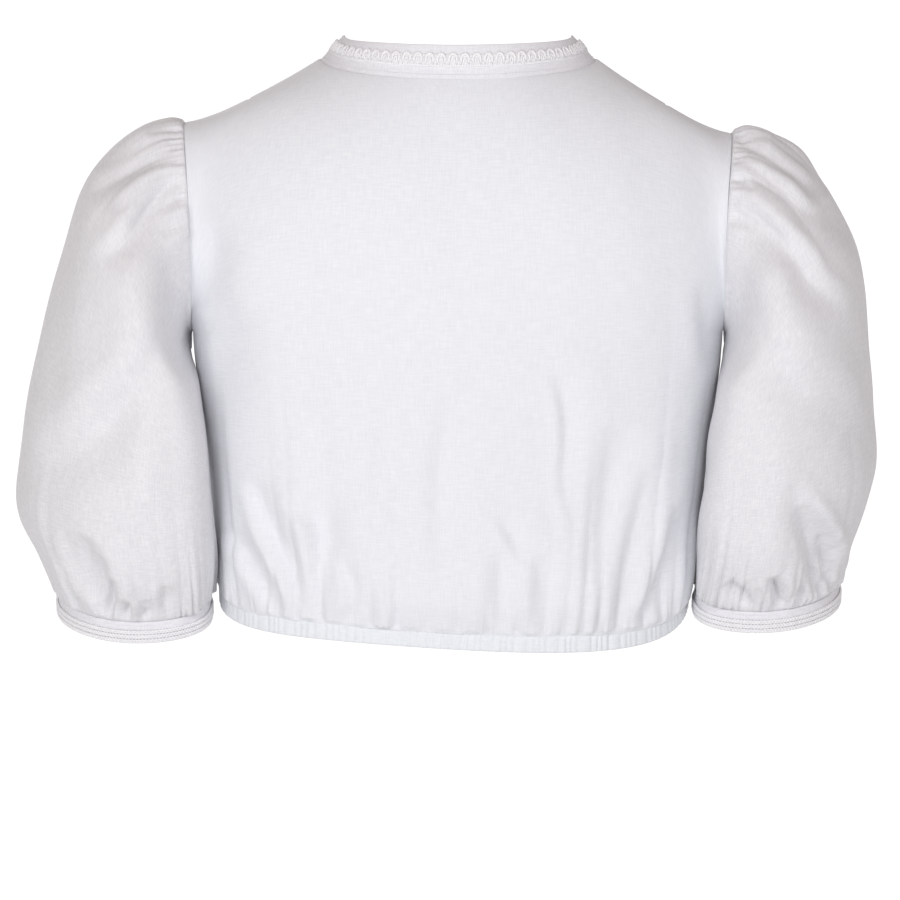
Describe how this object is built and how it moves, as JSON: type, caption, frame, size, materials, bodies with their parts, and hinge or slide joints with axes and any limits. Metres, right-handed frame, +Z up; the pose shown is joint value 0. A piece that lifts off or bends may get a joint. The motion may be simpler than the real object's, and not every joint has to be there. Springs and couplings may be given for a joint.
{
  "type": "dirndl blouse",
  "caption": "Short white blouse with puff sleeves, deep V neck, braid-trimmed stand band and cuffs, and a gathered elastic hem, hollow as worn.",
  "frame": {"origin": "midway between the two neck points, where the shoulder seams meet the neck seam", "axes": "+Z up, the wearer's left is +X, the back is +Y and the front is -Y"},
  "size_m": [0.558, 0.2192, 0.3881],
  "materials": {
    "body_cloth": "bleached cotton, plain weave, matt",
    "sleeve_cloth": "bleached slubby linen and cotton, plain weave, matt",
    "band_cloth": "bleached cotton, sewn double, matt",
    "braid": "scalloped cotton loop braid, matt",
    "hem_cloth": "gathered cotton over elastic, matt",
    "label": "woven satin ribbon, blank"
  },
  "bodies": {
    "root": {"back": "body_cloth", "front_centre": "body_cloth", "front_side_left": "body_cloth", "front_side_right": "body_cloth", "sleeve_left": "sleeve_cloth", "sleeve_right": "sleeve_cloth", "cuff_left": "band_cloth", "cuff_right": "band_cloth", "neck_band": "band_cloth", "cuff_braid_left": "braid", "cuff_braid_right": "braid", "neck_braid": "braid", "hem_casing": "hem_cloth", "neck_label": "label", "care_label": "label"}
  },
  "joints": []
}
